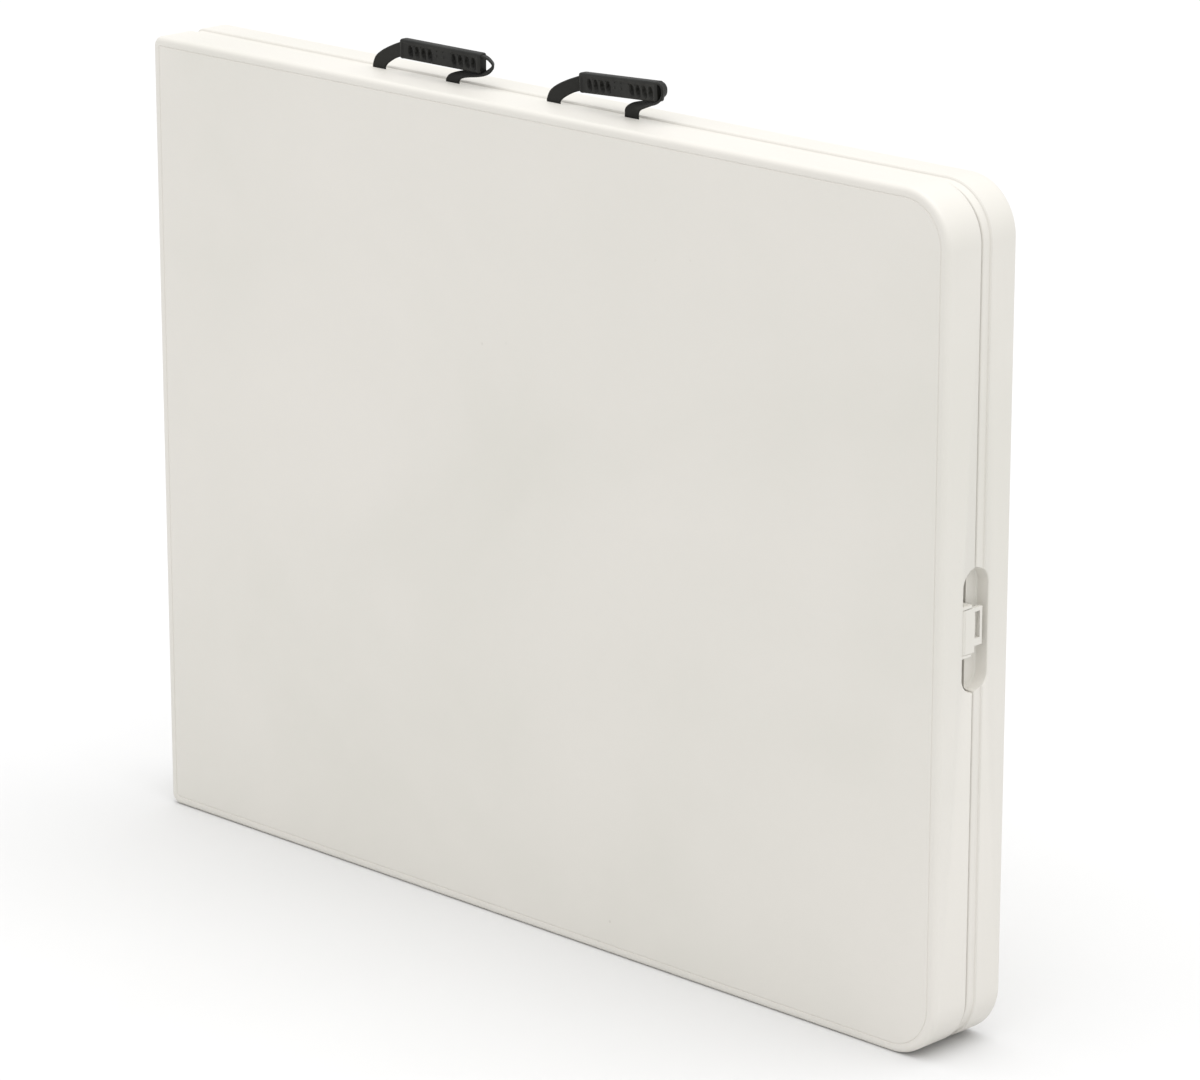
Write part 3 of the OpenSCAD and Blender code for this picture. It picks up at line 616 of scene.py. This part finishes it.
def grip_half_thickness(x, z):
    """Half the grip's thickness at a place on it: end collars, a ledge along the top, the finger ovals."""
    half = GRIP_T / 2
    ledge = min(max((z - 14.3) / 0.9, 0.0), 1.0)
    collar = min(max((abs(x) - 47.0) / 0.8, 0.0), 1.0)
    thick = half - 0.7 * (1 - max(ledge, collar))
    for centre in OVALS:
        dz = z - OVAL_Z
        dx = x - centre + OVAL_LEAN * dz
        inside = 1 - (dx / OVAL_A) ** 2 - (dz / OVAL_B) ** 2
        if inside > 0 and collar < 1:
            thick -= OVAL_DEEP * min(1.0, 2.6 * inside)
    end = max(0.0, (abs(x) - (GRIP_LEN / 2 - 2.2)) / 2.2)
    return thick - 1.3 * end * end


def grip_mesh():
    """The grip about its own middle: sections along X, each running up the front and down the back."""
    rows = [0.0, 0.5, 1.4] + [2.2 + 0.62 * k for k in range(20)] + [14.6, 15.2, 16.4]
    rings = []
    steps = ([-GRIP_LEN / 2 + 0.05] + [-GRIP_LEN / 2 + 0.5 + 0.75 * k for k in range(137)]
             + [GRIP_LEN / 2 - 0.05])
    for x in steps:
        end = max(0.0, (abs(x) - (GRIP_LEN / 2 - 2.2)) / 2.2)
        drop = 0.9 * end * end
        front, back = [], []
        for z in rows:
            t = grip_half_thickness(x, z)
            if z < 1.5:
                t -= 1.5 * (1 - z / 1.5) ** 2
            front.append((x, -t, z + drop * (1 - z / 9.0)))
            back.append((x, t, z + drop * (1 - z / 9.0)))
        t = grip_half_thickness(x, 16.4)
        crown = [(x, -t + 0.35, 17.2 - drop), (x, -t + 1.2, 17.8 - drop), (x, -t * 0.4, 18.0 - drop),
                 (x, t * 0.4, 18.0 - drop), (x, t - 1.2, 17.8 - drop), (x, t - 0.35, 17.2 - drop)]
        rings.append(front + crown + back[::-1])
    parts = [loft(rings)]
    studs = ([(-4.4, 8.2, 1.3), (4.4, 8.2, 1.3)]
             + [(x, 12.9, 0.7) for x in (-33, -24.5, -16.2, -4, 4, 14.5, 22.8, 31.2)])
    for x, z, r in studs:
        for face in (-1, 1):
            base = grip_half_thickness(x, z)
            rise = [(r, -0.2), (r, 0.15), (0.7 * r, 0.42), (0.25 * r, 0.5)]
            parts.append(loft([[(x + a, face * (base + h), z + b) for a, b in arc(0, 0, rad, 0, 360, 12)[:-1]]
                               for rad, h in rise]))
    return joined(parts)


GRIP_MESH = grip_mesh()


def handle(which, side, half_body, right_edges, yaw=0.0, roll=0.0, lift=0.0):
    """One carry handle: its two straps with their beaded tails, and its grip, lying as the CAD grip does."""
    body = "handle_" + which
    feet = feet_of(which)
    lo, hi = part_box("handle_grip_" + which)
    reach = GRIP_LEN / 2 * math.sin(math.radians(yaw))
    rise = GRIP_LEN / 2 * math.sin(math.radians(roll))
    for tag, x, edges, turn, raised in (("near", feet[0], (LEFT_A, LEFT_B), reach, lift - rise),
                                        ("far", feet[1], right_edges, -reach, lift + rise)):
        strap = band(placed(edges[0], x, turn, raised), placed(edges[1], x, turn, raised))
        tail = bead(x, side * 2.5, TABLE_W - 15.0, 3.4, 24.0)
        piece = mesh("strap_" + which + "_" + tag, *joined([strap, tail]), STRAP, smooth_angle=50)
        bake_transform(piece)
        if tag == "near":
            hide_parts("handle_strap_" + which, "handle_anchor_" + which)
    piece = mesh("grip_" + which, *GRIP_MESH, GRIP, smooth_angle=38)
    piece.data.transform(Matrix.Translation((lo + hi) / 2) @ Matrix.Rotation(math.radians(-yaw), 4, "Z")
                         @ Matrix.Rotation(math.radians(-roll), 4, "Y")
                         @ Matrix.Translation((0, 0, -GRIP_H / 2 * MM)))
    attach(piece, body)
    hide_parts("handle_grip_" + which)


handle("left", REAR, "rear_half", (LOOP_A, LOOP_B))
handle("right", FRONT, "front_half", (RISER_A, RISER_B), yaw=5.0, roll=4.0, lift=3.0)


# ---------------------------------------------------------------- the latch
CHEEK_T = 3.0
CHEEK_W0, CHEEK_W1 = 3.0, 16.0
CATCH_WALL, CATCH_ROOF = 0.8, 1.9


def cheeks():
    """The two moulded cheeks in the front half's recess that hold the latch pin."""
    made = []
    for z in (MID_Z - 22.9, MID_Z + 19.9):
        rings = []
        for inset, x in ((0.0, -RECESS_DEEP - 0.5), (0.0, -2.3), (0.3, -1.7), (0.8, -1.5)):
            rings.append([(FOLD_X + HALF_LEN + x, -w, z + h) for w, h in
                          ((CHEEK_W0 + inset, inset), (CHEEK_W1 - inset, inset),
                           (CHEEK_W1 - inset, CHEEK_T - inset), (CHEEK_W0 + inset, CHEEK_T - inset))])
        made.append(loft(rings))
    return joined(made)


def catch_loop():
    """The catch, a moulded loop that the lever's window drops over, open in the middle."""
    lo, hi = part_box("latch_catch")
    lo, hi = lo / MM, hi / MM
    outer = [(lo.y, lo.z), (hi.y, lo.z), (hi.y, hi.z), (lo.y, hi.z)]
    y0, y1 = lo.y + CATCH_WALL, hi.y - CATCH_WALL
    z0, z1 = lo.z + CATCH_ROOF, hi.z - CATCH_ROOF
    inner = [(y0, z0), (y1, z0), (y1, z1), (y0, z1)]
    verts = [(x, y, z) for x in (lo.x, hi.x) for y, z in outer + inner]
    faces = []
    for k in range(4):
        m = (k + 1) % 4
        faces += [(k, m, 4 + m, 4 + k), (8 + k, 12 + k, 12 + m, 8 + m),
                  (k, 8 + k, 8 + m, m), (4 + k, 4 + m, 12 + m, 12 + k)]
    return verts, faces


piece = mesh("latch_cheeks", *cheeks(), SHELL)
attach(piece, "front_half")
piece = mesh("latch_catch_loop", *catch_loop(), SHELL)
bevel = piece.modifiers.new("soft_edges", "BEVEL")
bevel.width, bevel.segments, bevel.limit_method = 0.2 * MM, 2, "ANGLE"
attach(piece, "rear_half")
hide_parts("latch_catch")

# ---------------------------------------------------------------- CAD nodes that stay
KEPT = {
    "side_rail": STEEL, "leg_bracket": STEEL, "pivot_tube": STEEL, "leg_tube": STEEL, "crossbar": STEEL,
    "brace_anchor_": STEEL, "panel_link": STEEL, "leg_link": STEEL,
    "hinge_leaf": ZINC, "hinge_pin": ZINC, "anchor_pin": ZINC, "knee_rivet": ZINC, "brace_collars": ZINC,
    "handle_screws": ZINC, "latch_pin": ZINC, "rail_screws": ZINC, "bracket_screws": ZINC,
    "foot_cap": FOOT,
    "latch_lever": SHELL,
}
BEVELS = {"side_rail": 1.2, "leg_bracket": 0.8, "brace_anchor_": 0.6, "panel_link": 0.6, "leg_link": 0.6,
          "hinge_leaf": 0.4, "foot_cap": 1.2, "latch_lever": 0.5, "rail_screws": 0.4,
          "bracket_screws": 0.4, "knee_rivet": 0.5, "brace_collars": 0.4}

for node_name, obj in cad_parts.items():
    for prefix, material in KEPT.items():
        if node_name.startswith(prefix):
            obj.data.materials.clear()
            obj.data.materials.append(material)
    for prefix, width in BEVELS.items():
        if node_name.startswith(prefix):
            bevel = obj.modifiers.new("soft_edges", "BEVEL")
            bevel.width, bevel.segments, bevel.limit_method = width * MM, 2, "ANGLE"
            bevel.angle_limit = math.radians(50)
            bevel.harden_normals = True
